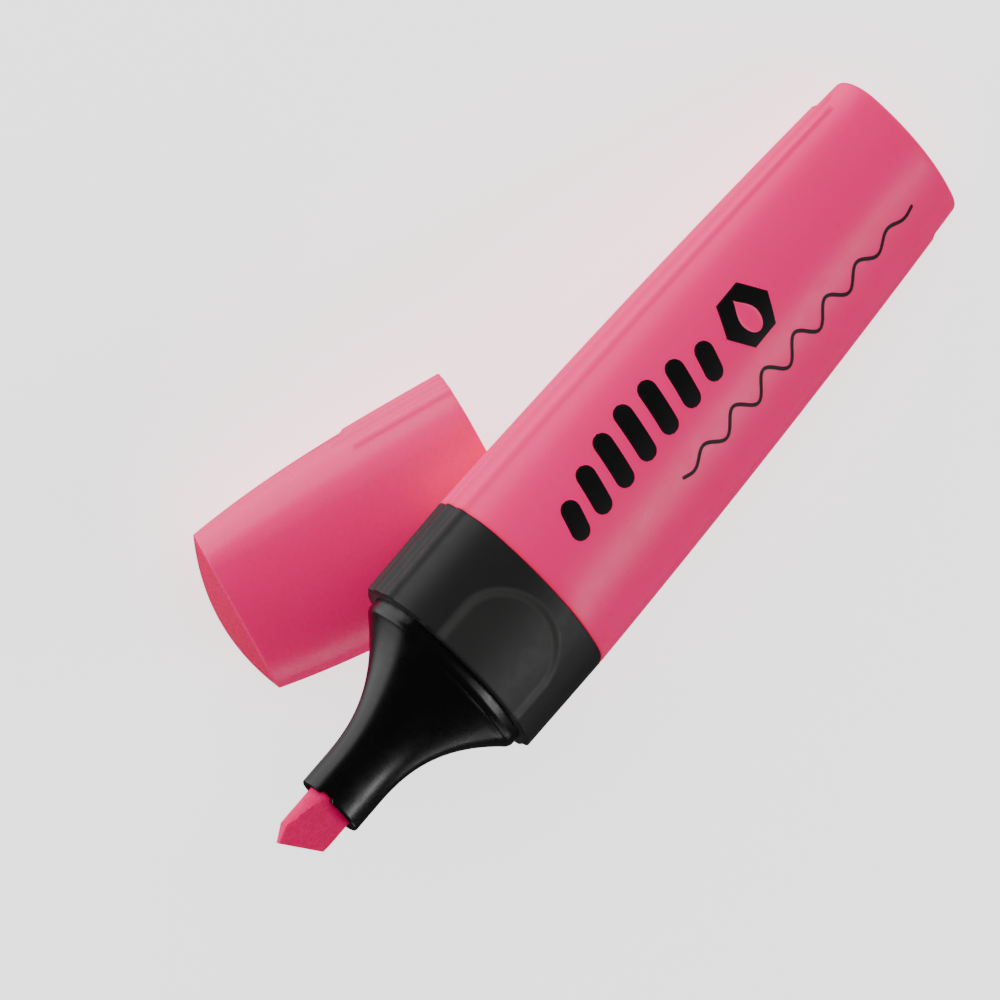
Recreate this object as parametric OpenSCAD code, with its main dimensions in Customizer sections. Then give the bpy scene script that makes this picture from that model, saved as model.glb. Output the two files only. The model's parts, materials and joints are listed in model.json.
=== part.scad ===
// Oval highlighter lying open: the capless pen leans across its own cap.
// Every section is a four-arc oval. The barrel, the collar, the cap and the parts inside them
// share one family of ovals: each is the collar's own oval, moved in or out by an offset.
// A pen piece is drawn with +Z towards the nib and Z = 0 at the joint of barrel and collar.
// A cap piece is drawn with +Z towards the closed end and Z = 0 at the mouth.

/* [Oval body] */
// Full width where the barrel meets the collar, without the ribs
body_w = 27.1; // [24:0.1:33]
// Full thickness at the same place
body_t = 16.9; // [16:0.1:20]
// Radius of the narrow sides at the same place
side_r = 7.0; // [6.6:0.1:7.6]

/* [Barrel] */
// Length of the barrel with its domed end
barrel_len = 71.5; // [55:0.5:90]
// How much the half width shrinks from the joint to the far end
barrel_taper = 2.5; // [1.5:0.1:2.9]
// How far the sides bow outwards between the two ends
barrel_bow = 0.46; // [0.1:0.02:0.8]
// Wall of the barrel
barrel_wall = 1.2; // [0.8:0.1:1.5]
// Height of the dome that closes the far end
barrel_dome = 1.4; // [1:0.1:3]
// Radius of the rounded edge at the far end
barrel_round = 0.6; // [0.2:0.1:0.9]

/* [Grip] */
// Length of the grip collar
collar_len = 13.2; // [10:0.1:20]
// How much the collar narrows towards its front rim
collar_taper = 0.17; // [0:0.01:0.4]
// Radial thickness of the collar
collar_wall = 1.7; // [1.2:0.1:2.2]
// Height of the side ribs
rib_h = 0.3; // [0.15:0.05:0.5]
// Angle between neighbouring ribs, seen from the centre of the narrow side
rib_angle = 19; // [15:1:22]
// Distance from the outer rib ends to the far end of the barrel
rib_end_gap = 4.9; // [4:0.1:12]
// Extra length of the middle rib at the far end of the barrel
rib_extra = 1.1; // [0:0.1:2]

/* [Nib holder] */
// Length of the seat that the cap pushes onto
seat_len = 1.9; // [1.5:0.1:4]
// Distance from the collar's front rim to the end of the nose
nose_reach = 21.2; // [18:0.1:26]
// Width of the nose
nose_w = 8.7; // [8.6:0.1:10.5]
// Thickness of the nose
nose_t = 5.8; // [5.4:0.1:6.6]
// Share of the neck's length over which it narrows to the nose
neck_share = 0.8; // [0.6:0.05:0.95]
// Depth of the plug that holds the barrel
plug_len = 9; // [5:0.5:14]

/* [Nib] */
// Width of the nib
nib_w = 6.2; // [5:0.1:6.4]
// Thickness of the nib
nib_t = 4.0; // [3:0.1:4.2]
// How far the long corner of the chisel edge stands out of the nose
nib_reach = 7.1; // [5:0.05:9]
// Slant of the chisel edge
nib_skew = 30.9; // [0:0.1:40]
// Length of the two sloping faces, square to the edge
chisel_len = 7.5; // [5:0.1:9]
// Thickness left at the edge
edge_t = 0.7; // [0.3:0.1:1]

/* [Ink reservoir] */
// Thickness of the film around the fibre core
film_t = 0.2; // [0.1:0.05:0.3]
// Clearance between the film and the barrel at its narrow end
core_gap = 0.3; // [0.1:0.05:0.6]
// Depth of the nib's tail in the fibre core
tail_len = 3; // [1:0.5:6]

/* [Cap] */
// Length of the cap
cap_len = 36.6; // [34:0.1:45]
// Wall of the cap at its mouth
cap_wall = 1.15; // [0.8:0.05:1.3]
// How much the half width shrinks from the mouth to the closed end
cap_taper = 2.5; // [1.5:0.1:2.8]
// Height of the dome that closes the cap
cap_dome = 2.4; // [1:0.1:4]
// Radius of the edge round the closed end
cap_round = 0.25; // [0.1:0.05:0.8]
// Thickness of the closed end at the middle
cap_end_wall = 3.2; // [2.5:0.1:5]
// Length of the outer ribs on the cap
cap_rib_len = 13.7; // [6:0.1:18]
// Extra length of the cap's middle rib
cap_rib_extra = 2.2; // [0:0.1:4]
// Radial clearance of the cap on its seat
cap_fit = 0.05; // [0.02:0.01:0.15]
// Wall of the seal sleeve inside the cap
seal_wall = 0.9; // [0.6:0.1:1.2]

/* [Rest] */
// Angle between the pen and the cap, seen from above
cross_angle = 13; // [5:0.5:40]
// Position of the pen's joint past the cap's mouth, along the cap
cross_x = 4.5; // [0:0.5:12]
// Sideways position of the pen's joint
cross_y = 6.1; // [0:0.1:8]
// Turn of the cap about its own axis, under the pen's weight
cap_roll = -3.3; // [-6:0.1:6]
// Gap left between the pen and the cap
rest_gap = 0.15; // [0.1:0.05:0.3]

/* [Hidden] */

// Steps along a narrow side's arc and along a broad side's arc
side_steps = 36;
broad_steps = 6;
// Steps on a section that carries no ribs
plain_steps = 12;

// ---- four-arc oval ----
// An oval is [half width, half thickness, side radius].
body_oval = [body_w / 2, body_t / 2, side_r];
function offset_oval(d) = [body_oval[0] + d, body_oval[1] + d, body_oval[2] + d];
function side_centre(o) = o[0] - o[2];
function broad_r(o) = (pow(side_centre(o), 2) + o[1] * o[1] - o[2] * o[2]) / (2 * (o[1] - o[2]));
function broad_centre(o) = broad_r(o) - o[1];
// Half the angle of a broad arc
function broad_half(o) = atan2(side_centre(o), broad_centre(o));

// Directions of the normals round an oval, with `side` and `broad` steps on its arcs
function normals(o, side, broad) =
    let (b = broad_half(o), s = 90 - b)
    [for (turn = [0, 180], i = [0 : side + broad - 1])
        turn + (i < side ? -s + 2 * s * i / side : s + 2 * b * (i - side) / broad)];

// Point of the oval whose normal points at angle `n`, pushed out by `h`
function oval_point(o, n, h = 0) =
    abs(cos(n)) >= sin(broad_half(o)) - 0.0001
        ? [sign(cos(n)) * side_centre(o) + (o[2] + h) * cos(n), (o[2] + h) * sin(n)]
        : [(broad_r(o) + h) * cos(n), (broad_r(o) + h) * sin(n) - sign(sin(n)) * broad_centre(o)];

// Offset of the body oval that passes through a point, which is its distance from the body oval
function offset_at(p) =
    let (x = abs(p[0]), y = abs(p[1]), c = side_centre(body_oval), v = broad_centre(body_oval))
    atan2(x, y + v) > broad_half(body_oval)
        ? norm([x - c, y]) - side_r
        : norm([x, y + v]) - broad_r(body_oval);

// ---- ribs ----
// Length over which a rib rises at its end
rib_fade = 0.6;
// Profile of the three ribs: 1 on a crest, 0 between the ribs
function rib_wave(n) =
    let (a = abs(asin(sin(n))))
    a > 1.5 * rib_angle ? 0 : pow(cos(180 * a / rib_angle), 2);
// Rib height at normal `n` when the outer ribs fade in from `start` and the middle one from `start_mid`
function rib_rise(n, z, start, start_mid) =
    let (from = abs(asin(sin(n))) < rib_angle / 2 ? start_mid : start)
    rib_h * rib_wave(n) * max(0, min(1, (z - from) / rib_fade));

// ---- rings and lofts ----
function plain_ring(o, z, side = plain_steps, broad = broad_steps) =
    [for (n = normals(o, side, broad)) concat(oval_point(o, n), [z])];
// A ring shrunk towards the axis, for a dome
function small_ring(o, z, k) =
    [for (n = normals(o, side_steps, broad_steps)) concat(k * oval_point(o, n), [z])];
// Angles of the rings on a rounded edge, and the shrinking rings of a dome
round_angles = [30, 60];
dome_k = [1, 0.85, 0.65, 0.4, 0.15];
// Rings over a closed end: a rounded edge of radius `edge`, then a shallow dome, bulging along `way`
function end_rings(off, z, height, edge, way) = concat(
    [for (a = round_angles)
        small_ring(offset_oval(off - edge * (1 - cos(a))), z + way * edge * sin(a), 1)],
    [for (k = dome_k)
        small_ring(offset_oval(off - edge), z + way * (edge + (height - edge) * (1 - k * k)), k)]);
function reversed(rings) = [for (i = [len(rings) - 1 : -1 : 0]) rings[i]];

// Skin through a list of rings. It is closed by flat ends, or back to its first ring when looped.
module loft(rings, looped = false) {
    n = len(rings[0]);
    m = len(rings);
    bands = looped ? m : m - 1;
    sides = [for (i = [0 : bands - 1], j = [0 : n - 1])
        let (a = i * n + j, b = i * n + (j + 1) % n, c = ((i + 1) % m) * n + j,
             d = ((i + 1) % m) * n + (j + 1) % n)
        each [[a, c, b], [b, c, d]]];
    ends = looped ? [] : [[for (j = [0 : n - 1]) j], [for (j = [n - 1 : -1 : 0]) (m - 1) * n + j]];
    polyhedron([for (r = rings) each r], concat(sides, ends));
}

// ---- barrel and collar profile ----
// Offset of the barrel's outside at height z, which is 0 at the joint
function barrel_off(z) =
    let (u = -z / barrel_len)
    -barrel_taper * 1.1 * u + 4 * barrel_bow * u * (1 - u);
function collar_off(z) = -collar_taper * z / collar_len;

function collar_ring(z) =
    let (o = offset_oval(collar_off(z)))
    [for (n = normals(o, side_steps, broad_steps))
        concat(oval_point(o, n, rib_rise(n, z, -rib_fade, -rib_fade)), [z])];
collar_spans = 4;
collar_outside = [for (i = [0 : collar_spans]) collar_ring(collar_len * i / collar_spans)];

barrel_edge = -barrel_len + barrel_dome;
rib_start = -barrel_len + rib_end_gap;
function barrel_ring(z) =
    let (o = offset_oval(barrel_off(z)))
    [for (n = normals(o, side_steps, broad_steps))
        concat(oval_point(o, n, rib_rise(n, z, rib_start, rib_start - rib_extra)), [z])];
barrel_end = reversed(end_rings(barrel_off(barrel_edge), barrel_edge, barrel_dome, barrel_round, -1));
barrel_spans = 7;
barrel_z = concat([barrel_edge, rib_start - rib_extra, rib_start, rib_start + rib_fade],
    [for (i = [1 : barrel_spans]) (rib_start + rib_fade) * (1 - i / barrel_spans)]);
barrel_outside = concat(barrel_end, [for (z = barrel_z) barrel_ring(z)]);

// ---- fits of the nib holder, the core and the cap ----
// Step from the collar's front rim down to the cap's mouth
cap_step = 0.13;
seat_off = -collar_taper - cap_step - cap_wall - cap_fit;
// Clearance of the plug inside the barrel, whose wall runs straight along the plug
plug_fit = 0.02;
function plug_off(z) = -barrel_wall - barrel_off(-plug_len) * z / plug_len - plug_fit;
core_rear = -barrel_len + barrel_dome + barrel_wall;
film_off = barrel_off(core_rear) - barrel_wall - core_gap;
core_off = film_off - film_t;
seat_start = collar_len;
seat_end = seat_start + seat_len;
nose_z = collar_len + nose_reach;
nose_oval = [nose_w / 2, nose_t / 2, 0.83 * nose_t / 2];
// Radius of the nib's rounded sides, and the nib's clearance in its channel
nib_round = 0.46 * nib_t;
channel_gap = 0.03;
nib_oval = [nib_w / 2, nib_t / 2, nib_round];
channel_oval = [for (k = [0 : 2]) nib_oval[k] + channel_gap];
nose_wall = 0.6;
recess_oval = [nose_oval[0] - nose_wall, nose_oval[1] - nose_wall, nose_oval[2] - nose_wall];
recess_len = 1.6;
nib_tip = nose_z + nib_reach;

// ---- cap profile ----
cap_mouth_off = -collar_taper - cap_step;
function cap_off(z) = cap_mouth_off - cap_taper * pow(z / cap_len, 3);
cap_edge = cap_len - cap_dome;
function cap_ring(z) =
    let (o = offset_oval(cap_off(z)))
    [for (n = normals(o, side_steps, broad_steps))
        concat(oval_point(o, n, rib_rise(n, -z, -cap_rib_len, -cap_rib_len - cap_rib_extra)), [z])];
cap_z = [0, cap_rib_len / 2, cap_rib_len - rib_fade, cap_rib_len, cap_rib_len + cap_rib_extra,
    0.55 * cap_len, 0.7 * cap_len, 0.82 * cap_len, cap_edge];
cap_outside = concat([for (z = cap_z) cap_ring(z)],
    end_rings(cap_off(cap_edge), cap_edge, cap_dome, cap_round, 1));
cap_floor = cap_len - cap_end_wall;

// ---- how the pen and the cap lie ----
// The pen presses on the mouth, so the cap lies level on its bottom there, turned a little about its axis
function cap_turn(p) =
    [p[2], p[0] * cos(cap_roll) - p[1] * sin(cap_roll), p[0] * sin(cap_roll) + p[1] * cos(cap_roll)];
cap_lift = -min([for (r = cap_outside, p = r) cap_turn(p)[2]]);
function cap_point(p) = cap_turn(p) + [0, 0, cap_lift];

// A pen point turned by tilt t and by the crossing angle
function pen_turn(p, t) =
    let (a = p[2] * cos(t) - p[1] * sin(t))
    [a * cos(cross_angle) - p[0] * sin(cross_angle),
     a * sin(cross_angle) + p[0] * cos(cross_angle),
     p[2] * sin(t) + p[1] * cos(t)];
// Height of the joint above the table when the far end rests on it
barrel_foot = [for (i = [0 : len(barrel_end) + 1], p = barrel_outside[i]) if (p[1] < 0) p];
function pen_lift(t) = -min([for (p = barrel_foot) pen_turn(p, t)[2]]);
// A point of the room in the pen's own frame, with the joint at height `lift`
function pen_inverse(q, t, lift) =
    let (v = q - [cross_x, cross_y, lift],
         a = v[0] * cos(cross_angle) + v[1] * sin(cross_angle))
    [v[1] * cos(cross_angle) - v[0] * sin(cross_angle), v[2] * cos(t) - a * sin(t),
     a * cos(t) + v[2] * sin(t)];
// Upper half of the cap's outside, where the pen may touch it
cap_top = [for (r = cap_outside, p = r) if (p[1] > body_t / 3) cap_point(p)];
function pen_off(z) = z < 0 ? barrel_off(z) : z < collar_len ? collar_off(z) : seat_off;
function clearance(t) =
    let (lift = pen_lift(t))
    min([for (q = cap_top) let (p = pen_inverse(q, t, lift))
        p[2] > seat_end ? body_w : offset_at([p[0], p[1]]) - pen_off(p[2])]);
// The tilt at which the pen comes to lie on the cap, by halving
function find_tilt(low, high, n) =
    let (mid = (low + high) / 2)
    n == 0 ? mid : clearance(mid) < rest_gap ? find_tilt(mid, high, n - 1) : find_tilt(low, mid, n - 1);
pen_tilt = find_tilt(4, 40, 12);
pen_place = [cross_x, cross_y, pen_lift(pen_tilt)];
function pen_point(p) = pen_turn(p, pen_tilt) + pen_place;

// The nib's long corner stands this far from its middle line
nib_edge_x = nib_w / 2 - 1.2;
// Middle of the whole object's box on the table, where the origin goes
outline = concat([for (r = concat(barrel_outside, collar_outside), p = r) pen_point(p)],
    [for (r = cap_outside, p = r) cap_point(p)], [pen_point([-nib_edge_x, -edge_t / 2, nib_tip])]);
xs = [for (p = outline) p[0]];
ys = [for (p = outline) p[1]];
centre = [(min(xs) + max(xs)) / 2, (min(ys) + max(ys)) / 2, 0];

module pen_pose() {
    translate(pen_place - centre) rotate([0, 0, cross_angle]) rotate([0, -pen_tilt, 0])
        rotate([90, 0, 90]) children();
}
module cap_pose() {
    translate([0, 0, cap_lift] - centre) rotate([90, 0, 90]) rotate([0, 0, cap_roll]) children();
}

// ---- pen ----
// Closed tube of pink plastic: the outside up to the joint, then the inside back to its floor
module barrel() {
    inside_z = [0, -plug_len, -0.35 * barrel_len, -0.65 * barrel_len, core_rear];
    color("deeppink") pen_pose() loft(concat(barrel_outside,
        [for (z = inside_z)
            plain_ring(offset_oval(barrel_off(z) - barrel_wall), z, side_steps, broad_steps)]));
}

// Black sleeve with the ribs, gripped between the barrel and the seat
module grip_collar() {
    bore = offset_oval(-collar_wall);
    color("dimgray") pen_pose() loft(concat(collar_outside,
        [for (z = [collar_len, 0]) plain_ring(bore, z, side_steps, broad_steps)]), looped = true);
}

// Glossy black holder: plug, body inside the collar, cap seat, trumpet neck and nose, with the nib's channel
module nib_holder() {
    lead_in = 0.5;
    seat_rise = 0.2;
    neck_start = [body_oval[0] + seat_off, body_oval[1] + seat_off, side_r + seat_off];
    neck_from = seat_end;
    neck_to = seat_end + neck_share * (nose_z - seat_end);
    // The neck narrows quickly at first and then runs straight into the nose
    function blend(u) = pow(1 - u, 2.5);
    function neck_oval(u) =
        [for (k = [0 : 2]) nose_oval[k] + (0.96 * neck_start[k] - nose_oval[k]) * blend(u)];
    neck_steps = 9;
    outside = concat(
        [plain_ring(offset_oval(plug_off(-plug_len) - lead_in), -plug_len),
         plain_ring(offset_oval(plug_off(lead_in - plug_len)), lead_in - plug_len),
         plain_ring(offset_oval(plug_off(0)), 0),
         plain_ring(offset_oval(-collar_wall), 0),
         plain_ring(offset_oval(-collar_wall), seat_start),
         plain_ring(offset_oval(seat_off), seat_start + seat_rise),
         plain_ring(offset_oval(seat_off), seat_end - 0.6),
         plain_ring(offset_oval(seat_off - 0.2), seat_end - 0.15)],
        [for (i = [0 : neck_steps])
            let (u = i / neck_steps)
            plain_ring(neck_oval(u), neck_from + 0.15 + (neck_to - neck_from) * u)],
        [plain_ring(nose_oval, nose_z)]);
    inside = [plain_ring(recess_oval, nose_z), plain_ring(recess_oval, nose_z - recess_len),
        plain_ring(channel_oval, nose_z - recess_len), plain_ring(channel_oval, -plug_len)];
    color("black") pen_pose() loft(concat(outside, inside), looped = true);
}

// Pressed fibre nib with a slanted chisel edge and a tail that draws ink from the core
module nib() {
    tail_z = -plug_len - tail_len;
    long_x = -nib_edge_x;
    short_z = nib_tip - (nib_w / 2 - long_x) * tan(nib_skew);
    side_cut = 2.3;
    pad = nib_tip - tail_z;
    color("hotpink") pen_pose() intersection() {
        translate([0, 0, tail_z]) linear_extrude(nib_tip - tail_z)
            polygon([for (n = normals(nib_oval, 8, 2)) oval_point(nib_oval, n)]);
        rotate([90, 0, 0]) translate([0, 0, -pad]) linear_extrude(2 * pad) polygon([
            [-nib_w / 2, tail_z], [nib_w / 2, tail_z], [nib_w / 2, short_z],
            [long_x, nib_tip], [-nib_w / 2, nib_tip - side_cut]]);
        translate([long_x, 0, nib_tip]) rotate([0, nib_skew, 0]) rotate([90, 0, 90])
            translate([0, 0, -pad]) linear_extrude(2 * pad) polygon([
                [-edge_t / 2, 0], [edge_t / 2, 0], [nib_t / 2, -chisel_len], [nib_t / 2, -2 * pad],
                [-nib_t / 2, -2 * pad], [-nib_t / 2, -chisel_len]]);
    }
}

// Fibre core with a pocket for the nib's tail
module ink_reservoir() {
    core = offset_oval(core_off);
    color("pink") pen_pose() loft([plain_ring(core, core_rear), plain_ring(core, -plug_len),
        plain_ring(channel_oval, -plug_len), plain_ring(channel_oval, -plug_len - tail_len)]);
}

// Clear film that holds the core together, open at both ends
module reservoir_film() {
    margin = 0.5;
    ends = [core_rear + margin, -plug_len - margin];
    color("lightgray") pen_pose() loft([
        plain_ring(offset_oval(film_off), ends[0]), plain_ring(offset_oval(film_off), ends[1]),
        plain_ring(offset_oval(core_off), ends[1]), plain_ring(offset_oval(core_off), ends[0])], looped = true);
}

// ---- cap ----
module cap_shell() {
    inside_z = [cap_floor, 0.8 * cap_len, 0.6 * cap_len, 0.3 * cap_len, 0];
    color("deeppink") cap_pose() loft(concat(
        [for (i = [0 : len(inside_z) - 1])
            plain_ring(offset_oval(cap_off(inside_z[i]) - cap_wall), inside_z[i], side_steps, broad_steps)],
        cap_outside));
}

// Sleeve on the cap's closed end that shuts round the nose
module cap_seal() {
    bore = [for (k = [0 : 2]) nose_oval[k] + cap_fit];
    wall = [for (k = [0 : 2]) bore[k] + seal_wall];
    start = nose_reach - 4;
    color("deeppink") cap_pose() loft([plain_ring(wall, start), plain_ring(wall, cap_floor),
        plain_ring(bore, cap_floor), plain_ring(bore, start)], looped = true);
}

barrel();
grip_collar();
nib_holder();
nib();
ink_reservoir();
reservoir_film();
cap_shell();
cap_seal();
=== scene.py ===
import json
import math

import bpy
from mathutils import Matrix, Quaternion, Vector


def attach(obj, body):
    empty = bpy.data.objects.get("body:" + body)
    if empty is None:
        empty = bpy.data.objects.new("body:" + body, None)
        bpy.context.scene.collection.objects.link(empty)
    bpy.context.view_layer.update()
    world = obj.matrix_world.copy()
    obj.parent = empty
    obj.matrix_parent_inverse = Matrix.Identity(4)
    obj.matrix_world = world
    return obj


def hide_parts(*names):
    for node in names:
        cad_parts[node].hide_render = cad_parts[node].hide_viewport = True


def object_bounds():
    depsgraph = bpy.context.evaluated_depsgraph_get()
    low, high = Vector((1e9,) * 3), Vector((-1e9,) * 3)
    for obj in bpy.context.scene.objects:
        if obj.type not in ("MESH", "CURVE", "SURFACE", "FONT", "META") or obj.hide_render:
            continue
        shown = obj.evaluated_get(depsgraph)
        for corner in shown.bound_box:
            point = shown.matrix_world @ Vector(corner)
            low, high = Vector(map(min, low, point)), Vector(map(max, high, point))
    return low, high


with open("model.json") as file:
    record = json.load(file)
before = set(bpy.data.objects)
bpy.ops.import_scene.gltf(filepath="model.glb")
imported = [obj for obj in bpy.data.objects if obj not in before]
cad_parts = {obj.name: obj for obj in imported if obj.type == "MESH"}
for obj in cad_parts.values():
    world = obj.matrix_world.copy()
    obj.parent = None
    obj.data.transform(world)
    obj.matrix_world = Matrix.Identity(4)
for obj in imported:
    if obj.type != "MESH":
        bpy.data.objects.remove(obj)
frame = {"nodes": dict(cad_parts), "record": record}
packed_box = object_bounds()

# ---- Barrel ----
# A closed tube of fluorescent pink polypropylene, moulded in one shot with its domed end and the
# three ribs along each narrow side. The nib holder's plug is pressed into its open end.
MM = 0.001
mounts = {m["name"]: m for m in frame["record"]["mounts"]}
collar_len = 13.2
pen_z = Vector(mounts["cap_seat"]["axis"])
pen_x = Vector((0, 0, 1)).cross(pen_z).normalized()
pen_y = pen_z.cross(pen_x)
joint = Vector(mounts["cap_seat"]["pos_m"]) - pen_z * collar_len * MM
# The pen's own frame: millimetres, +Z towards the nib, +Y out of the printed face, zero at the joint
pen_turn = Matrix((pen_x, pen_y, pen_z)).transposed().to_4x4()
pen = Matrix.Translation(joint) @ pen_turn @ Matrix.Scale(MM, 4)

body_w = 27.1
body_t = 16.9
side_r = 7.0
rib_h = 0.3
rib_angle = math.radians(19)
rib_fade = 0.6


def offset_oval(d):
    """Half width, half thickness and side radius of the body's oval, moved out by d."""
    return (body_w / 2 + d, body_t / 2 + d, side_r + d)


def ring(shape, z, steps=(72, 24), rise=None, shrink=1.0):
    """Points round a four-arc oval, pushed out by rise(angle of the normal, x)."""
    half_w, half_t, r = shape
    centre_x = half_w - r
    broad_r = (centre_x**2 + half_t**2 - r**2) / (2 * (half_t - r))
    centre_y = broad_r - half_t
    broad_half = math.atan2(centre_x, centre_y)
    side_half = math.pi / 2 - broad_half
    side_count, broad_count = steps
    points = []
    for turn, way in ((0, 1), (math.pi, -1)):
        for i in range(side_count):
            n = turn - side_half + 2 * side_half * i / side_count
            x = way * centre_x + r * math.cos(n)
            h = rise(n, x) if rise else 0
            points.append((x + h * math.cos(n), (r + h) * math.sin(n)))
        for i in range(broad_count):
            n = turn + side_half + 2 * broad_half * i / broad_count
            x = broad_r * math.cos(n)
            h = rise(n, x) if rise else 0
            points.append((x + h * math.cos(n), (broad_r + h) * math.sin(n) - way * centre_y))
    return [(shrink * x, shrink * y, z) for x, y in points]


def ribs(z, start, start_mid):
    """Height of the three ribs, which fade in from start, and the middle one from start_mid."""
    def rise(n, x):
        a = abs(math.asin(max(-1.0, min(1.0, math.sin(n)))))
        if a > 1.5 * rib_angle:
            return 0
        first = start_mid if a < rib_angle / 2 else start
        return rib_h * math.cos(math.pi * a / rib_angle) ** 2 * max(0.0, min(1.0, (z - first) / rib_fade))
    return rise


def rounding(radius, steps):
    """Points of a quarter round: how far along and how far in, from the side to the end."""
    quarter = [math.pi / 2 * i / steps for i in range(1, steps + 1)]
    return [(radius * math.sin(a), radius * (1 - math.cos(a))) for a in quarter]


def closed_end(off, z, height, edge, way, steps=16):
    """Rings over a closed end: a rounded edge, then a shallow dome that bulges along way."""
    rings = [ring(offset_oval(off - inwards), z + way * along) for along, inwards in rounding(edge, 5)]
    for i in range(1, steps + 1):
        share = 1 - i / steps
        along = edge + (height - edge) * (1 - share**2)
        rings.append(ring(offset_oval(off - edge), z + way * along, shrink=share))
    return rings


def skin(name, place, rings):
    """A sheet of squares, wrapped round and along the rings, then closed."""
    columns = len(rings[0])
    bpy.ops.object.select_all(action="DESELECT")
    bpy.ops.mesh.primitive_grid_add(x_subdivisions=columns, y_subdivisions=len(rings) - 1, size=1)
    piece = bpy.context.active_object
    piece.name = name
    for i, vertex in enumerate(piece.data.vertices):
        row, column = divmod(i, columns + 1)
        vertex.co = place @ Vector(rings[row][column % columns])
    bpy.ops.object.mode_set(mode="EDIT")
    bpy.ops.mesh.select_all(action="SELECT")
    bpy.ops.mesh.remove_doubles(threshold=1e-6)
    bpy.ops.mesh.normals_make_consistent(inside=False)
    bpy.ops.object.mode_set(mode="OBJECT")
    bpy.ops.object.shade_smooth_by_angle(angle=math.radians(35))
    return piece


def spaced(first, last, steps):
    """Evenly spaced numbers from first to last."""
    return [first + (last - first) * i / steps for i in range(steps + 1)]


def add(tree, kind, sockets=None, **settings):
    """A shader node with its settings, and its inputs set or linked."""
    made = tree.nodes.new(kind)
    for key, value in settings.items():
        setattr(made, key, value)
    for key, value in (sockets or {}).items():
        if isinstance(value, bpy.types.NodeSocket):
            tree.links.new(value, made.inputs[key])
        else:
            made.inputs[key].default_value = value
    return made


def spread(tree, value, low, high, to_low, to_high):
    """Maps a number from one span to another, smoothly and held at the ends."""
    made = add(tree, "ShaderNodeMapRange", {0: value, 1: low, 2: high, 3: to_low, 4: to_high},
               interpolation_type="SMOOTHSTEP", clamp=True)
    return made.outputs[0]


def mixed(tree, factor, a, b, kind="MIX"):
    """One colour blended into another."""
    made = add(tree, "ShaderNodeMix", {0: factor, 6: a, 7: b}, data_type="RGBA", blend_type=kind)
    return made.outputs[2]


def local(tree, place):
    """Coordinates in a piece's own frame, in millimetres."""
    spot, turn, size = place.decompose()
    coordinates = add(tree, "ShaderNodeTexCoord")
    made = add(tree, "ShaderNodeMapping",
               {"Vector": coordinates.outputs["Object"], "Location": spot, "Rotation": turn.to_euler(),
                "Scale": size}, vector_type="TEXTURE")
    return made.outputs["Vector"]


def plastic(name, place, colour, deep, roughness, glow, grain=0.0, shine=0.16, wear=0.12):
    """Moulded plastic: cloudy colour, fine grain, uneven gloss, scuffs, and edges worn lighter."""
    material = bpy.data.materials.new(name)
    material.use_nodes = True
    tree = material.node_tree
    shader = tree.nodes["Principled BSDF"]
    spot = local(tree, place)
    clouds = add(tree, "ShaderNodeTexNoise", {"Vector": spot, "Scale": 0.11, "Detail": 3.0})
    tint = mixed(tree, spread(tree, clouds.outputs[0], 0.35, 0.7, 0.0, 0.22), colour, deep)
    speck = add(tree, "ShaderNodeTexNoise", {"Vector": spot, "Scale": 9.0, "Detail": 2.0})
    tint = mixed(tree, spread(tree, speck.outputs[0], 0.3, 0.8, 0.0, 0.06), tint, (1, 1, 1, 1), "SOFT_LIGHT")
    worn = add(tree, "ShaderNodeNewGeometry")
    edge = spread(tree, worn.outputs["Pointiness"], 0.52, 0.6, 0.0, 1.0)
    light = mixed(tree, 0.5, colour, (1, 1, 1, 1))
    tint = mixed(tree, spread(tree, edge, 0.0, 1.0, 0.0, wear), tint, light)
    scuff = add(tree, "ShaderNodeTexNoise", {"Vector": spot, "Scale": 0.6, "Detail": 6.0, "Roughness": 0.7})
    rough = spread(tree, scuff.outputs[0], 0.3, 0.75, roughness - 0.03, roughness + 0.06)
    fine = add(tree, "ShaderNodeTexNoise", {"Vector": spot, "Scale": 5.0, "Detail": 3.0})
    bump = add(tree, "ShaderNodeBump", {"Height": fine.outputs[0], "Strength": 0.05 + grain,
                                        "Distance": 0.00002})
    tree.links.new(tint, shader.inputs["Base Color"])
    tree.links.new(rough, shader.inputs["Roughness"])
    tree.links.new(bump.outputs[0], shader.inputs["Normal"])
    shader.inputs["Subsurface Weight"].default_value = glow
    shader.inputs["Subsurface Radius"].default_value = (1.0, 0.12, 0.25)
    shader.inputs["Subsurface Scale"].default_value = 0.0008
    shader.inputs["Specular IOR Level"].default_value = shine
    return material, tree, shader, spot, tint


def painted_glow(shader, colour, strength):
    """Painted glow: the surface gives off a little red light of its own, standing in for the fluorescent
    dye's glow.
    """
    shader.inputs["Emission Color"].default_value = colour
    shader.inputs["Emission Strength"].default_value = strength


def finish_piece(piece, material, body, slot, *nodes):
    """Gives a piece its material, its body and the CAD node it stands for."""
    piece.data.materials.clear()
    piece.data.materials.append(material)
    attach(piece, body)
    if nodes:
        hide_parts(*nodes)
    return piece


barrel_len = 71.5
barrel_taper = 2.5
barrel_bow = 0.46
barrel_wall = 1.2
barrel_dome = 1.4
barrel_round = 0.6
rib_end_gap = 4.9
rib_extra = 1.1
rim_round = 0.16
# The outer surfaces are kept this far inside their nominal curves
inset = 0.036


def barrel_off(z):
    """How far the barrel's oval stands out at z: it narrows and bows towards the far end."""
    u = -z / barrel_len
    return -barrel_taper * 1.1 * u + 4 * barrel_bow * u * (1 - u) - inset


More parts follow.
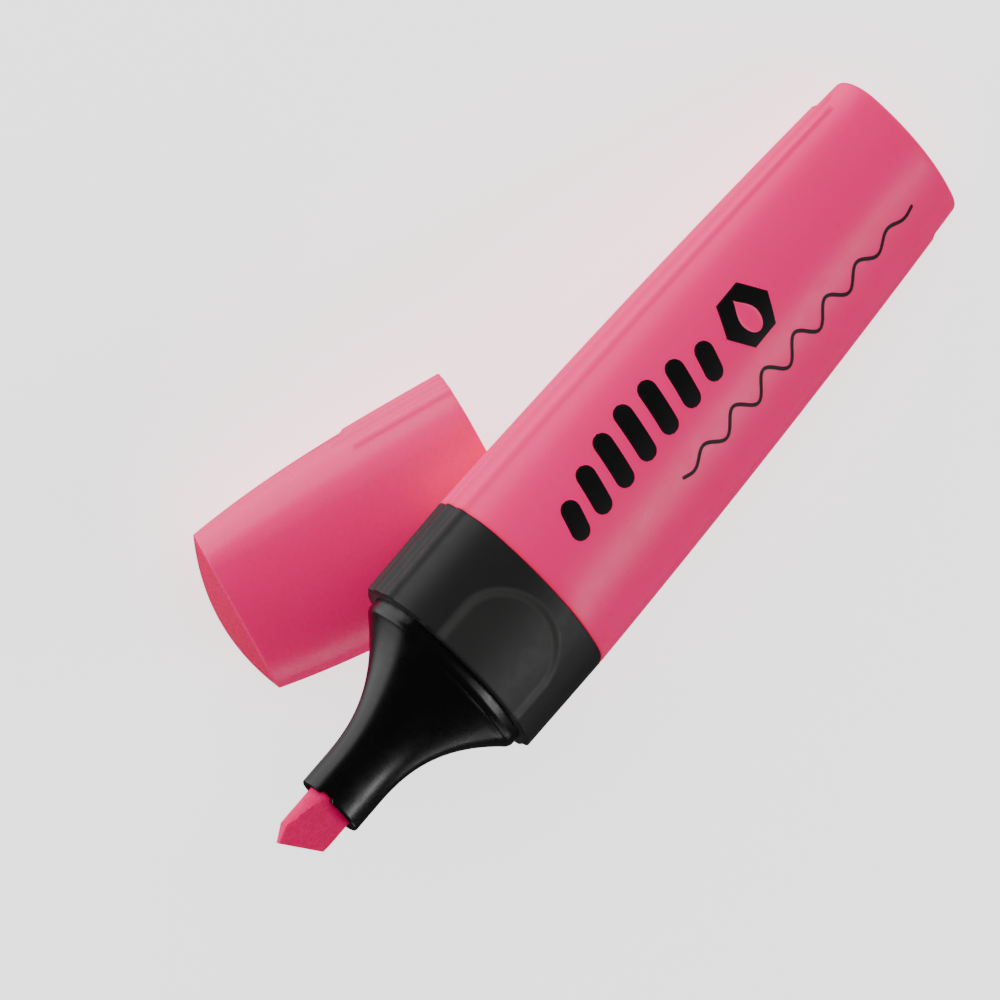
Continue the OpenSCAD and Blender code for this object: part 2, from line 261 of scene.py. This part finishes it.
barrel_edge = barrel_dome - barrel_len
rib_start = rib_end_gap - barrel_len
barrel_rings = closed_end(barrel_off(barrel_edge), barrel_edge, barrel_dome, barrel_round, -1)[::-1]
for z in (spaced(barrel_edge, rib_start - rib_extra, 3)[:-1]
          + spaced(rib_start - rib_extra, rib_start + rib_fade, 16)[:-1]
          + spaced(rib_start + rib_fade, -rim_round, 36)):
    barrel_rings.append(ring(offset_oval(barrel_off(z)), z, rise=ribs(z, rib_start, rib_start - rib_extra)))
for along, inwards in rounding(rim_round, 4):
    z = along - rim_round
    barrel_rings.append(ring(offset_oval(barrel_off(z) - inwards), z, rise=ribs(z, rib_start, rib_start)))
inner_end = barrel_edge + barrel_wall
for z in spaced(0, inner_end, 8):
    barrel_rings.append(ring(offset_oval(barrel_off(z) - barrel_wall), z))
barrel_rings.append(ring(offset_oval(barrel_off(inner_end) - barrel_wall), inner_end, shrink=0))
barrel = skin("barrel_shell", pen, barrel_rings)

PINK = (0.8, 0.003, 0.16, 1)
DEEP_PINK = (0.76, 0.002, 0.115, 1)
# Deeper red painted on the barrel's rim at the joint, a painted glow
RED = (0.72, 0.002, 0.05, 1)
# Painted glow: red light given off by the pink plastics, though they are no lamp
PAINTED_GLOW_RED = (1, 0, 0.11, 1)
PAINTED_GLOW_STRENGTH = 0.3
pink, tree, shader, spot, tint = plastic("pink_barrel", pen, PINK, DEEP_PINK, 0.3, 0.15, shine=0.26)
axes = add(tree, "ShaderNodeSeparateXYZ", {0: spot})
# Painted glow: the rim at the joint is painted a deeper red, standing in for the light that gathers in the
# wall
tint = mixed(tree, spread(tree, axes.outputs[2], -0.6, -0.15, 0.0, 0.7), tint, RED)
tree.links.new(tint, shader.inputs["Base Color"])
# Painted glow on the barrel
painted_glow(shader, PAINTED_GLOW_RED, PAINTED_GLOW_STRENGTH)
finish_piece(barrel, pink, "pen", "pink_shell", "barrel")

# ---- Print on the barrel ----
# Pad-printed black ink on the upper broad face: a row of bold slanted bars, a badge with a drop,
# and a thin loose wave beside them. It is a wordless pattern, a few hundredths of a millimetre thick.
ink_lift = 0.015


def on_barrel(x, z, lift):
    """Point on the barrel's printed face, raised by lift."""
    d = barrel_off(z)
    centre_x = body_w / 2 - side_r
    broad_r = (centre_x**2 + (body_t / 2) ** 2 - side_r**2) / (2 * (body_t / 2 - side_r))
    centre_y = broad_r - body_t / 2
    reach = broad_r + d + lift
    if abs(x) < reach * centre_x / math.hypot(centre_x, centre_y):
        return (x, math.sqrt(reach**2 - x**2) - centre_y, z)
    r = side_r + d + lift
    return (x, math.sqrt(r**2 - (abs(x) - centre_x) ** 2), z)


def stroke(name, path, width, steps, lift=ink_lift):
    """A flat stroke on the barrel along path(t), with half width width(t), for t from 0 to 1."""
    across = 4
    bpy.ops.object.select_all(action="DESELECT")
    bpy.ops.mesh.primitive_grid_add(x_subdivisions=across, y_subdivisions=steps, size=1)
    piece = bpy.context.active_object
    piece.name = name
    for i, vertex in enumerate(piece.data.vertices):
        row, column = divmod(i, across + 1)
        t = row / steps
        here = Vector(path(t))
        way = (Vector(path(min(1, t + 0.002))) - Vector(path(max(0, t - 0.002)))).normalized()
        aside = Vector((-way.y, way.x)) * width(t) * (2 * column / across - 1)
        x, z = here + aside
        vertex.co = pen @ Vector(on_barrel(x, z, lift))
    bpy.ops.object.mode_set(mode="EDIT")
    bpy.ops.mesh.select_all(action="SELECT")
    bpy.ops.mesh.remove_doubles(threshold=1e-7)
    bpy.ops.mesh.normals_make_consistent(inside=False)
    bpy.ops.object.mode_set(mode="OBJECT")
    if piece.data.polygons[0].normal.dot(pen_y) < 0:
        bpy.ops.object.mode_set(mode="EDIT")
        bpy.ops.mesh.flip_normals()
        bpy.ops.object.mode_set(mode="OBJECT")
    bpy.ops.object.modifier_add(type="SOLIDIFY")
    piece.modifiers[-1].thickness = 2 * lift * MM
    piece.modifiers[-1].offset = -1
    bpy.ops.object.modifier_apply(modifier=piece.modifiers[-1].name)
    bpy.ops.object.shade_smooth_by_angle(angle=math.radians(35))
    return piece


def round_ended(half, length):
    """Half width of a stroke with round ends."""
    def width(t):
        end = min(t, 1 - t) * length
        return half if end >= half else math.sqrt(max(0.0, half**2 - (half - end) ** 2))
    return width


INK = (0.004, 0.004, 0.004, 1)
WORN_INK = (0.007, 0.006, 0.007, 1)
ink, tree, shader, spot, tint = plastic("black_ink", pen, INK, WORN_INK, 0.45, 0.0, shine=0.2, wear=0.0)

bar_count = 7
bar_pitch = 4.15
bar_first = -7.6
bar_foot = -1.7
bar_slant = 1.6
bar_half = 1.25
bar_shortest = 4.0
bar_swell = 3.1
for i in range(bar_count):
    arch = math.sin(math.pi * (i + 0.5) / bar_count)
    height = bar_shortest + bar_swell * arch
    foot = (bar_foot, bar_first - bar_pitch * i + bar_slant / 2)
    head = (bar_foot - height, bar_first - bar_pitch * i - bar_slant / 2)

    def along(t, foot=foot, head=head):
        return [a + (b - a) * t for a, b in zip(foot, head)]

    bar = stroke(f"print_bar_{i + 1}", along, round_ended(bar_half, height), 40)
    finish_piece(bar, ink, "pen", None)

badge_x = -4.05
badge_z = -39.8
badge_r = 3.9


def badge_path(t):
    return (badge_x - badge_r * math.cos(math.pi / 6) * (2 * t - 1), badge_z)


def badge_width(t):
    """Half width of an upright hexagon."""
    return badge_r * (1 - 0.5 * abs(2 * t - 1))


badge = stroke("print_badge", badge_path, badge_width, 32)
finish_piece(badge, ink, "pen", None)


drop_reach = 2.4
drop_half = 1.35


def drop_path(t):
    return (badge_x - drop_reach * (2 * t - 1), badge_z)


def drop_width(t):
    """Half width of a drop: round at its foot and pointed at its head."""
    round_part = 0.42
    if t < round_part:
        return drop_half * math.sqrt(max(0.0, 1 - ((round_part - t) / round_part) ** 2))
    return drop_half * math.cos(math.pi / 2 * (t - round_part) / (1 - round_part)) ** 1.3


drop = stroke("print_drop", drop_path, drop_width, 48, lift=ink_lift * 1.6)
finish_piece(drop, pink, "pen", None)

wave_from = -20.5
wave_to = -65.0
wave_half = 0.24
wave_x = 3.0
wave_drift = 0.7
wave_swing = 1.55
wave_turns = 7.5


def wave_path(t):
    """A loose wave that swells and settles along the barrel."""
    swing = wave_swing * math.sin(math.pi * t) ** 0.5 * (1 - 0.35 * t)
    x = wave_x + wave_drift * t + swing * math.sin(2 * math.pi * wave_turns * t)
    return (x, wave_from + (wave_to - wave_from) * t)


wave = stroke("print_wave", wave_path, round_ended(wave_half, wave_from - wave_to), 420)
finish_piece(wave, ink, "pen", None)

# ---- Grip collar ----
# A black sleeve with the barrel's ribs carried on over it, gripped between the barrel and the cap
# seat. A shallow arch for the thumb is sunk into each broad face and runs out at the front rim.
collar_taper = 0.17
collar_wall = 1.7
arch_half = 7.0
arch_shoulder = 8.5
arch_top = 2.5
arch_band = 1.0
arch_depth = 0.2
front_round = 0.22


def collar_off(z):
    """How far the collar's oval stands out at z."""
    return -collar_taper * z / collar_len - inset


def arch(x, z):
    """Depth of the thumb arch at a point of the broad face."""
    if z > arch_shoulder:
        outside = abs(x) - arch_half
    else:
        tall = arch_shoulder - arch_top
        outside = (math.hypot(x / arch_half, (z - arch_shoulder) / tall) - 1) * (arch_half + tall) / 2
    share = max(0.0, min(1.0, 0.5 - outside / arch_band))
    return arch_depth * share**2 * (3 - 2 * share)


def collar_rise(z):
    """Height over the collar's oval at z: ribs on the narrow sides, the arch on the broad ones."""
    side = ribs(z, -rib_fade, -rib_fade)

    def rise(n, x):
        return side(n, x) - (arch(x, z) if abs(math.sin(n)) > 0.9 else 0)
    return rise


collar_steps = (72, 84)
collar_rings = []
for along, inwards in rounding(rim_round, 4)[::-1]:
    z = rim_round - along
    collar_rings.append(ring(offset_oval(collar_off(z) - inwards), z, collar_steps, ribs(z, -1, -1)))
for z in spaced(rim_round, collar_len - front_round, 70):
    collar_rings.append(ring(offset_oval(collar_off(z)), z, collar_steps, collar_rise(z)))
for along, inwards in rounding(front_round, 5):
    z = collar_len - front_round + along
    collar_rings.append(ring(offset_oval(collar_off(z) - inwards), z, collar_steps, collar_rise(z)))
for z in (collar_len, 0):
    collar_rings.append(ring(offset_oval(-collar_wall), z, collar_steps))
collar = skin("collar_sleeve", pen, collar_rings + collar_rings[:1])

BLACK = (0.012, 0.012, 0.0125, 1)
GREYED_BLACK = (0.015, 0.015, 0.0155, 1)
# Lighter blacks painted on the thumb arch and its band: painted sheen and painted highlight
ARCH_PAINTED_SHEEN = (0.019, 0.019, 0.0185, 1)
BAND_PAINTED_HIGHLIGHT = (0.034, 0.034, 0.033, 1)
satin, tree, shader, spot, tint = plastic("satin_black", pen, BLACK, GREYED_BLACK, 0.46, 0.0, 0.1, 0.3, 0.04)
# The arch and the band round it are painted a little lighter than the grained sleeve: a painted sheen in the
# arch and a painted highlight on its sloped band, for the light they catch
axes = add(tree, "ShaderNodeSeparateXYZ", {0: spot})
across = add(tree, "ShaderNodeMath", {0: axes.outputs[0], 1: arch_half}, operation="DIVIDE")
above = add(tree, "ShaderNodeMath", {0: arch_shoulder, 1: axes.outputs[2]}, operation="SUBTRACT")
above = add(tree, "ShaderNodeMath", {0: above.outputs[0], 1: 0.0}, operation="MAXIMUM")
above = add(tree, "ShaderNodeMath", {0: above.outputs[0], 1: arch_shoulder - arch_top}, operation="DIVIDE")
corner = add(tree, "ShaderNodeCombineXYZ", {0: across.outputs[0], 1: above.outputs[0]})
reach = add(tree, "ShaderNodeVectorMath", {0: corner.outputs[0]}, operation="LENGTH").outputs["Value"]
inside = spread(tree, reach, 0.97, 1.03, 1.0, 0.0)
from_line = add(tree, "ShaderNodeMath", {0: reach, 1: 1.0}, operation="SUBTRACT")
from_line = add(tree, "ShaderNodeMath", {0: from_line.outputs[0]}, operation="ABSOLUTE")
band = spread(tree, from_line.outputs[0], 0.04, 0.13, 1.0, 0.0)
broad = add(tree, "ShaderNodeMath", {0: axes.outputs[1]}, operation="ABSOLUTE")
broad = spread(tree, broad.outputs[0], 5.0, 6.0, 0.0, 1.0)
inside = add(tree, "ShaderNodeMath", {0: inside, 1: broad}, operation="MULTIPLY")
band = add(tree, "ShaderNodeMath", {0: band, 1: broad}, operation="MULTIPLY")
# Painted sheen in the arch, then a painted highlight along its band
tint = mixed(tree, inside.outputs[0], tint, ARCH_PAINTED_SHEEN)
tint = mixed(tree, band.outputs[0], tint, BAND_PAINTED_HIGHLIGHT)
tree.links.new(tint, shader.inputs["Base Color"])
finish_piece(collar, satin, "pen", "black_grip", "grip_collar")

# ---- Nib holder ----
# One polished black moulding: a plug in the barrel, the rounded seat that the cap pushes onto, a
# trumpet neck and a flat nose that holds the nib. The nose's rim is dipped at mid width.
cap_step = 0.13
cap_wall = 1.15
cap_fit = 0.05
seat_off = -collar_taper - cap_step - cap_wall - cap_fit
seat_len = 1.9
seat_end = collar_len + seat_len
nose_reach = 21.2
nose_w = 8.7
nose_t = 5.8
nose_z = collar_len + nose_reach
nose_oval = (nose_w / 2, nose_t / 2, 0.83 * nose_t / 2)
plug_len = 9
plug_fit = 0.02
nib_w = 6.2
nib_t = 4.0
nib_round = 0.46 * nib_t
nose_wall = 0.6
recess_len = 1.6
recess_oval = tuple(v - nose_wall for v in nose_oval)
channel_oval = tuple(v + 0.03 for v in (nib_w / 2, nib_t / 2, nib_round))
neck_share = 0.8
neck_power = 2.5
nose_round = 0.3
holder_steps = (48, 24)


def plug_off(z):
    """How far the plug's oval stands out, to fit inside the barrel's taper."""
    return -barrel_wall - (barrel_off(-plug_len) + inset) * z / plug_len - plug_fit


def holder_ring(shape, z):
    """A ring of the nib holder, which all have the same number of points."""
    return ring(shape, z, holder_steps)


def neck_oval(u):
    """Section of the neck, from the seat at u = 0 to the nose at u = 1."""
    share = (1 - u) ** neck_power
    seat = offset_oval(seat_off)
    return tuple(n + (0.96 * s - n) * share for n, s in zip(nose_oval, seat))


notch_from = 1.5
notch_to = 2.9
notch_depth = 0.4
notch_ramp = 0.2


def dipped(points, share):
    """The nose's rim with its two air notches, each beside a shoulder of the nib."""
    made = []
    for x, y, z in points:
        aside = -x if y > 0 else x
        inside = min(aside - notch_from, notch_to - aside) / notch_ramp + 0.5
        made.append((x, y, z - share * notch_depth * max(0.0, min(1.0, inside))))
    return made


holder_rings = [
    holder_ring(offset_oval(plug_off(-plug_len) - 0.5), -plug_len),
    holder_ring(offset_oval(plug_off(0.5 - plug_len)), 0.5 - plug_len),
    holder_ring(offset_oval(plug_off(0)), 0),
    holder_ring(offset_oval(-collar_wall), 0),
    holder_ring(offset_oval(-collar_wall), collar_len),
    holder_ring(offset_oval(seat_off), collar_len),
]
# The seat's front shoulder is rounded and runs straight into the neck
shoulder_r = 1.1
shoulder_turn = math.radians(55)
for a in spaced(0, shoulder_turn, 12):
    holder_rings.append(holder_ring(offset_oval(seat_off - shoulder_r * (1 - math.cos(a))),
                                    seat_end - shoulder_r * (math.sin(shoulder_turn) - math.sin(a))))
neck_end = seat_end + neck_share * (nose_z - seat_end)
for u in spaced(0, 1, 44)[1:]:
    holder_rings.append(holder_ring(neck_oval(u), seat_end + (neck_end - seat_end) * u))
notch_z = nose_z - nose_round - 1.0
for z in spaced(neck_end, notch_z, 4)[1:]:
    holder_rings.append(holder_ring(nose_oval, z))
for i, z in enumerate(spaced(notch_z, nose_z - nose_round, 5)[1:]):
    holder_rings.append(dipped(holder_ring(nose_oval, z), (i + 1) / 5))
for along, inwards in rounding(nose_round, 6):
    shape = tuple(v - inwards for v in nose_oval)
    holder_rings.append(dipped(holder_ring(shape, nose_z - nose_round + along), 1))
holder_rings.append(dipped(holder_ring(recess_oval, nose_z), 1))
holder_rings.append(holder_ring(recess_oval, nose_z - recess_len))
holder_rings.append(holder_ring(channel_oval, nose_z - recess_len))
holder_rings.append(holder_ring(channel_oval, -plug_len))
holder = skin("nib_holder_body", pen, holder_rings + holder_rings[:1])

GLOSS_BLACK = (0.0015, 0.0015, 0.0016, 1)
SCUFFED_BLACK = (0.003, 0.003, 0.0032, 1)
gloss, tree, shader, spot, tint = plastic("gloss_black", pen, GLOSS_BLACK, SCUFFED_BLACK, 0.28, 0.0,
                                          shine=0.45, wear=0.02)
finish_piece(holder, gloss, "pen", "black_gloss", "nib_holder")

# ---- Nib ----
# A flat rod of bonded polyester fibre, pressed into the nose and ground to a slanted chisel edge.
# It is soaked with pink ink, which leaves it darker in streaks and blots.
nib_reach = 7.1
nib_skew = math.radians(30.9)
chisel_len = 7.5
edge_t = 0.7
nib_tip = nose_z + nib_reach
long_x = 1.2 - nib_w / 2
side_cut = 2.3
tail_len = 3
nib_oval = (nib_w / 2, nib_t / 2, nib_round)
nib_rings = [ring(nib_oval, z, (24, 8)) for z in spaced(-plug_len - tail_len, nib_tip + 1, 90)]
nib_rings = [ring(nib_oval, -plug_len - tail_len, (24, 8), shrink=0)] + nib_rings
nib_rings = nib_rings + [ring(nib_oval, nib_tip + 1, (24, 8), shrink=0)]
nib = skin("nib_fibre_tip", pen, nib_rings)
tip_point = Vector((long_x, 0, nib_tip))
edge_way = Vector((math.sin(nib_skew), 0, math.cos(nib_skew)))
slope = (nib_t - edge_t) / 2
nib_cuts = [
    (tip_point, edge_way),
    (tip_point, Vector((-side_cut, 0, nib_w / 2 + long_x))),
    (tip_point + Vector((0, edge_t / 2, 0)), Vector((0, chisel_len, 0)) + slope * edge_way),
    (tip_point - Vector((0, edge_t / 2, 0)), Vector((0, -chisel_len, 0)) + slope * edge_way),
]
for point, way in nib_cuts:
    bpy.ops.object.mode_set(mode="EDIT")
    bpy.ops.mesh.select_all(action="SELECT")
    bpy.ops.mesh.bisect(plane_co=pen @ point, plane_no=pen_turn.to_3x3() @ way.normalized(),
                        use_fill=True, clear_outer=True)
    bpy.ops.object.mode_set(mode="OBJECT")
bpy.ops.object.modifier_add(type="BEVEL")
nib.modifiers[-1].width = 0.14 * MM
nib.modifiers[-1].segments = 3
nib.modifiers[-1].limit_method = "ANGLE"
nib.modifiers[-1].angle_limit = math.radians(20)
bpy.ops.object.modifier_apply(modifier=nib.modifiers[-1].name)
bpy.ops.object.shade_smooth_by_angle(angle=math.radians(25))

fibre = bpy.data.materials.new("nib_fibre")
fibre.use_nodes = True
tree = fibre.node_tree
shader = tree.nodes["Principled BSDF"]
spot = local(tree, pen)
along = add(tree, "ShaderNodeMapping", {"Vector": spot, "Scale": (1, 1, 0.12)})
strand = add(tree, "ShaderNodeTexNoise", {"Vector": along.outputs[0], "Scale": 9.0, "Detail": 4.0})
blot = add(tree, "ShaderNodeTexNoise", {"Vector": spot, "Scale": 0.9, "Detail": 3.0})
WET_FIBRE = (0.62, 0.003, 0.09, 1)
DRY_FIBRE = (0.8, 0.006, 0.17, 1)
BLOT = (0.6, 0.003, 0.08, 1)
tint = mixed(tree, spread(tree, strand.outputs[0], 0.3, 0.7, 0.0, 1.0), WET_FIBRE, DRY_FIBRE)
tint = mixed(tree, spread(tree, blot.outputs[0], 0.4, 0.7, 0.0, 0.4), tint, BLOT)
bump = add(tree, "ShaderNodeBump", {"Height": strand.outputs[0], "Strength": 0.5, "Distance": 0.00006})
tree.links.new(tint, shader.inputs["Base Color"])
tree.links.new(bump.outputs[0], shader.inputs["Normal"])
tree.links.new(spread(tree, strand.outputs[0], 0.3, 0.7, 0.6, 0.85), shader.inputs["Roughness"])
shader.inputs["Specular IOR Level"].default_value = 0.12
shader.inputs["Subsurface Weight"].default_value = 0.2
shader.inputs["Subsurface Radius"].default_value = (1.0, 0.15, 0.25)
shader.inputs["Subsurface Scale"].default_value = 0.0015
# Painted glow: the nib gives off a little red light, though it is no lamp
painted_glow(shader, (1, 0, 0.1, 1), 0.16)
finish_piece(nib, fibre, "pen", "nib_fibre", "nib")

# ---- Ink reservoir and its film ----
# A bundle of loose polyester fibre that holds the ink, wrapped in clear film. Both are inside the
# barrel, where they don't show, so they keep the frame's solids.
core = frame["nodes"]["ink_reservoir"]
core.data.materials.clear()
core.data.materials.append(fibre)
FILM = (0.9, 0.84, 0.86, 1)
STAINED_FILM = (0.85, 0.8, 0.82, 1)
clear, tree, shader, spot, tint = plastic("clear_film", pen, FILM, STAINED_FILM, 0.2, 0.0)
shader.inputs["Transmission Weight"].default_value = 0.6
film = frame["nodes"]["reservoir_film"]
film.data.materials.clear()
film.data.materials.append(clear)

# ---- Cap ----
# A pink cap moulded in slightly clearer plastic than the barrel, with three short ribs on each
# narrow side at its mouth. It lies under the pen, turned a little by the pen's weight.
cap_len = 36.6
cap_taper = 2.5
cap_dome = 2.4
cap_round = 0.25
cap_end_wall = 3.2
cap_rib_len = 13.7
cap_rib_extra = 2.2
cap_roll = math.radians(-3.3)
mouth = Vector(mounts["cap_mouth"]["pos_m"])
cap_x = Vector((0, math.cos(cap_roll), math.sin(cap_roll)))
cap_y = Vector((0, -math.sin(cap_roll), math.cos(cap_roll)))
cap_z = Vector((1, 0, 0))
cap_turn = Matrix((cap_x, cap_y, cap_z)).transposed().to_4x4()
cap = Matrix.Translation(mouth) @ cap_turn @ Matrix.Scale(MM, 4)


def cap_off(z):
    """How far the cap's oval stands out at z: nearly straight at first, then narrower to the end."""
    return -collar_taper - cap_step - cap_taper * (z / cap_len) ** 3 - inset


def cap_rise(z):
    """Height of the cap's ribs, which start at the mouth."""
    return ribs(-z, -cap_rib_len, -cap_rib_len - cap_rib_extra)


cap_edge = cap_len - cap_dome
cap_rings = [ring(offset_oval(cap_off(cap_len - cap_end_wall) - cap_wall), cap_len - cap_end_wall, shrink=0)]
for z in spaced(cap_len - cap_end_wall, 0, 16):
    cap_rings.append(ring(offset_oval(cap_off(z) - cap_wall), z))
for along, inwards in rounding(rim_round, 4)[::-1]:
    z = rim_round - along
    cap_rings.append(ring(offset_oval(cap_off(z) - inwards), z, rise=cap_rise(z)))
for z in (spaced(rim_round, cap_rib_len - rib_fade, 8)[:-1]
          + spaced(cap_rib_len - rib_fade, cap_rib_len + cap_rib_extra, 18)[:-1]
          + spaced(cap_rib_len + cap_rib_extra, cap_edge, 30)):
    cap_rings.append(ring(offset_oval(cap_off(z)), z, rise=cap_rise(z)))
cap_rings += closed_end(cap_off(cap_edge), cap_edge, cap_dome, cap_round, 1)
cap_piece = skin("cap_body", cap, cap_rings)
cap_pink, tree, shader, spot, tint = plastic("pink_cap", cap, PINK, DEEP_PINK, 0.27, 0.15, shine=0.5)
axes = add(tree, "ShaderNodeSeparateXYZ", {0: spot})
# The thick closed end is painted a deeper red than the walls: painted shade on the end
END_PAINTED_SHADE = (0.48, 0.001, 0.05, 1)
tint = mixed(tree, spread(tree, axes.outputs[2], cap_edge + 0.1, cap_edge + 0.5, 0.0, 0.8), tint, END_PAINTED_SHADE)
tree.links.new(tint, shader.inputs["Base Color"])
# Painted glow on the cap
painted_glow(shader, PAINTED_GLOW_RED, PAINTED_GLOW_STRENGTH)
finish_piece(cap_piece, cap_pink, "cap", "pink_cap", "cap_shell")

# ---- Seal sleeve in the cap ----
# A short oval sleeve on the cap's closed end that shuts round the nose and keeps the nib wet. It is
# moulded in the cap's plastic and keeps the frame's solid.
seal = frame["nodes"]["cap_seal"]
seal.data.materials.clear()
seal.data.materials.append(cap_pink)

# ---- Studio ----
# A plain white floor, soft lights and the camera, which looks down at the pen from the near side.
middle = (packed_box[0] + packed_box[1]) / 2
bpy.ops.mesh.primitive_plane_add(size=6)
floor = bpy.context.active_object
floor.name = "floor"
paper = bpy.data.materials.new("paper")
paper.use_nodes = True
paper_shader = paper.node_tree.nodes["Principled BSDF"]
paper_shader.inputs["Base Color"].default_value = (0.93, 0.93, 0.93, 1)
paper_shader.inputs["Roughness"].default_value = 0.9
paper_shader.inputs["Specular IOR Level"].default_value = 0.0
paper_shader.inputs["Emission Color"].default_value = (1, 1, 1, 1)
paper_shader.inputs["Emission Strength"].default_value = 1.7
floor.data.materials.append(paper)
# Like a backdrop far behind, the floor lights the object but stays out of its reflections
floor.visible_glossy = False


def direction(azimuth, elevation):
    a, e = math.radians(azimuth), math.radians(elevation)
    return Vector((math.cos(a) * math.cos(e), math.sin(a) * math.cos(e), math.sin(e)))


def softbox(name, azimuth, elevation, distance, width, height, power):
    """A rectangular soft light that faces the object."""
    way = direction(azimuth, elevation)
    bpy.ops.object.light_add(type="AREA", location=middle + way * distance)
    light = bpy.context.active_object
    light.name = name
    light.rotation_euler = way.to_track_quat("Z", "Y").to_euler()
    light.data.shape = "RECTANGLE"
    light.data.size = width
    light.data.size_y = height
    light.data.energy = power
    return light


fill = softbox("fill", -98, 50, 0.8, 0.9, 0.6, 4.6)
fill.visible_glossy = False
softbox("far_side", 140, 36, 0.8, 0.5, 0.16, 2.0)
softbox("far_strip", 86, 12, 0.8, 0.6, 0.09, 0.5)

# A wide soft panel stands on the near side, low down, and the rest of the room is dark
world = bpy.data.worlds.new("studio")
bpy.context.scene.world = world
world.use_nodes = True
tree = world.node_tree
around = add(tree, "ShaderNodeTexCoord").outputs["Generated"]
axes = add(tree, "ShaderNodeSeparateXYZ", {0: around})
level = add(tree, "ShaderNodeCombineXYZ", {0: axes.outputs[0], 1: axes.outputs[1]})
level = add(tree, "ShaderNodeVectorMath", {0: level.outputs[0]}, operation="NORMALIZE")
toward = add(tree, "ShaderNodeVectorMath", {0: level.outputs[0], 1: direction(-60, 0)},
             operation="DOT_PRODUCT").outputs["Value"]
sideways = spread(tree, toward, 0.5, 0.82, 0.0, 1.0)
below_top = spread(tree, axes.outputs[2], 0.2, 0.62, 1.0, 0.0)
above_foot = spread(tree, axes.outputs[2], -0.95, -0.4, 0.35, 1.0)
panel = add(tree, "ShaderNodeMath", {0: sideways, 1: below_top}, operation="MULTIPLY")
panel = add(tree, "ShaderNodeMath", {0: panel.outputs[0], 1: above_foot}, operation="MULTIPLY")
room = spread(tree, panel.outputs[0], 0.0, 1.0, 0.05, 2.5)
tree.nodes["Background"].inputs[0].default_value = (1, 1, 1, 1)
tree.links.new(room, tree.nodes["Background"].inputs[1])

aim = Vector((11.98, -3.17, 20.95)) * MM
view_way = direction(-80.07, 63.98)
view_distance = 0.532
view_roll = math.radians(141.4)
bpy.ops.object.camera_add(location=aim + view_way * view_distance)
camera = bpy.context.active_object
camera.name = "camera"
camera.rotation_mode = "QUATERNION"
upright = (-view_way).to_track_quat("-Z", "Y")
camera.rotation_quaternion = upright @ Quaternion((0, 0, 1), view_roll)
camera.data.sensor_width = 36
camera.data.lens = 165.7
camera.data.clip_start = 0.01
camera.data.clip_end = 20
bpy.context.scene.camera = camera
